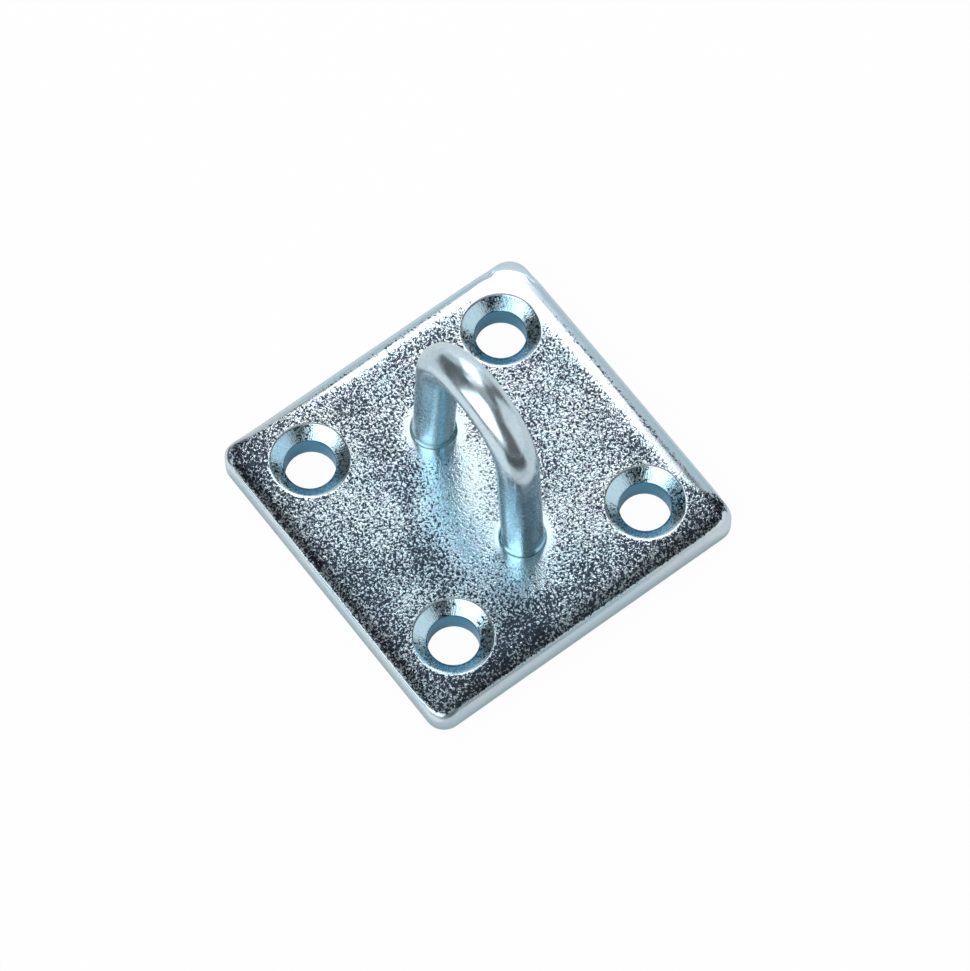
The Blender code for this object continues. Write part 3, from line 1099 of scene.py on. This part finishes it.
def make_floor():
    bm = bmesh.new()
    bmesh.ops.create_grid(bm, x_segments=1, y_segments=1, size=FLOOR_HALF)
    mesh = bpy.data.meshes.new("floor")
    bm.to_mesh(mesh)
    bm.free()
    mesh.materials.append(paper_material())
    floor = bpy.data.objects.new("floor", mesh)
    floor.location.z = -FLOOR_DROP
    bpy.context.scene.collection.objects.link(floor)


make_floor()
print("floor is", 2 * FLOOR_HALF, "m wide")

# %% [markdown]
# ## Light
# A bright metal shows the room more than itself, so the light is laid out as a photographer's table is: soft
# boxes and pale cards in a grey room, with dark gaps between them. A soft box faces the plate, and a standing
# box stays upright as a board does. Each is given by the direction in which it stands and by how wide and how
# high it looks from the plate, in degrees. An area light's strength is its brightness times its area, so
# large and small boxes are equally bright. Lamps could be placed by hand, but angles show what mirrors what.

# %% Soft boxes and cards
BOX_DISTANCE = 0.6
BOX_WHITE = 1.9
TOP_WHITE = 1.3
TOP_CARD = 0.3
RIGHT_WHITE = 0.74
CARD_WHITE = 0.52
FOOT_WHITE = 0.7
FAR_ROLL = -22.0


def level_direction(azimuth):
    """Level direction at an azimuth in degrees, counted from the far side towards the camera's right."""
    angle = math.radians(azimuth)
    return heading * math.cos(angle) + across * math.sin(angle)


def length_of(degrees):
    """Length that looks this many degrees wide from the plate."""
    return 2 * BOX_DISTANCE * math.tan(math.radians(degrees / 2))


def area_light(name, place, turn, width, height, brightness):
    """An area light of a given brightness, which the camera itself doesn't see."""
    data = bpy.data.lights.new(name, "AREA")
    data.shape = "RECTANGLE"
    data.size = width
    data.size_y = height
    data.energy = brightness * data.size * data.size_y * math.pi
    lamp = bpy.data.objects.new(name, data)
    lamp.location = place
    lamp.rotation_euler = turn.to_euler()
    lamp.visible_camera = False
    bpy.context.scene.collection.objects.link(lamp)
    print(name, "power", round(data.energy, 3))


def soft_box(name, azimuth, elevation, width, height, brightness, roll=0.0):
    """A box that faces the plate, and may be rolled."""
    rise = math.radians(elevation)
    toward = level_direction(azimuth) * math.cos(rise) + Vector((0.0, 0.0, math.sin(rise)))
    turn = Quaternion(toward, math.radians(roll)) @ toward.to_track_quat("Z", "Y")
    area_light(name, toward * BOX_DISTANCE, turn, length_of(width), length_of(height), brightness)


def standing_box(name, azimuth, width, low, high, brightness):
    """A box that stands upright, from one elevation to another."""
    level = level_direction(azimuth)
    foot, top = (BOX_DISTANCE * math.tan(math.radians(angle)) for angle in (low, high))
    place = level * BOX_DISTANCE + Vector((0.0, 0.0, (foot + top) / 2))
    area_light(name, place, level.to_track_quat("Z", "Y"), length_of(width), top - foot, brightness)


standing_box("key_box", -138.5, 75, 12, 74, BOX_WHITE)
standing_box("right_card", 96, 70, 0, 54, RIGHT_WHITE)
soft_box("far_box", 0.3, 49.6, 33, 17.4, BOX_WHITE, roll=FAR_ROLL)
soft_box("far_low_box", 6.5, 30, 28, 24.5, BOX_WHITE)
standing_box("far_foot_card", 6, 42, 0, 17.5, FOOT_WHITE)
soft_box("far_top_box", -14, 64, 37, 14, TOP_WHITE)
soft_box("far_left_card", -23, 18, 24, 36, CARD_WHITE)
soft_box("far_right_card", 31.5, 22, 17, 44, CARD_WHITE)
soft_box("top_card", 0, 90, 36, 36, TOP_CARD)

# %% [markdown]
# ## Cards on the floor, and the room
# Each near side of the plate mirrors the floor before it. A photographer lays a dark card there to deepen a
# side and a white one to lift it. Here a dark card lies before the right one and a glowing white card before
# the left one. Only the metal sees them, where small lights would also show on the floor.

# %% Cards on the floor
DARK_CARD_GREY = 0.04
WHITE_CARD_GLOW = 0.9
DARK_CARD = [(77, 22), (51, -62), (320, -385), (481, 136)]
WHITE_CARD = [(-45, -27), (30, -27), (150, -300), (-250, -300)]


def floor_card(name, outline, grey, glow):
    """A card that lies on the floor out of the picture, and that only the metal sees."""
    mesh = bpy.data.meshes.new(name)
    mesh.from_pydata([(x * MM, y * MM, 0.0) for x, y in outline], [], [(0, 1, 2, 3)])
    material = bpy.data.materials.new(name)
    material.use_nodes = True
    shader = material.node_tree.nodes["Principled BSDF"]
    shader.inputs["Base Color"].default_value = (grey, grey, grey, 1.0)
    shader.inputs["Roughness"].default_value = 0.9
    shader.inputs["Emission Color"].default_value = (1.0, 1.0, 1.0, 1.0)
    shader.inputs["Emission Strength"].default_value = glow
    mesh.materials.append(material)
    card = bpy.data.objects.new(name, mesh)
    bpy.context.scene.collection.objects.link(card)
    for ray in ("camera", "diffuse", "shadow"):
        setattr(card, "visible_" + ray, False)
    print(name, "corners mm", outline)


floor_card("dark_card", DARK_CARD, DARK_CARD_GREY, 0.0)
floor_card("white_card", WHITE_CARD, DARK_CARD_GREY, WHITE_CARD_GLOW)

# %% Room
ROOM_GREY = 0.14
world = bpy.data.worlds.new("studio")
bpy.context.scene.world = world
world.use_nodes = True
background = world.node_tree.nodes["Background"]
background.inputs["Color"].default_value = (ROOM_GREY, ROOM_GREY, ROOM_GREY, 1.0)
background.inputs["Strength"].default_value = 1.0
bpy.context.scene.view_settings.view_transform = "Standard"
print("room grey", ROOM_GREY)
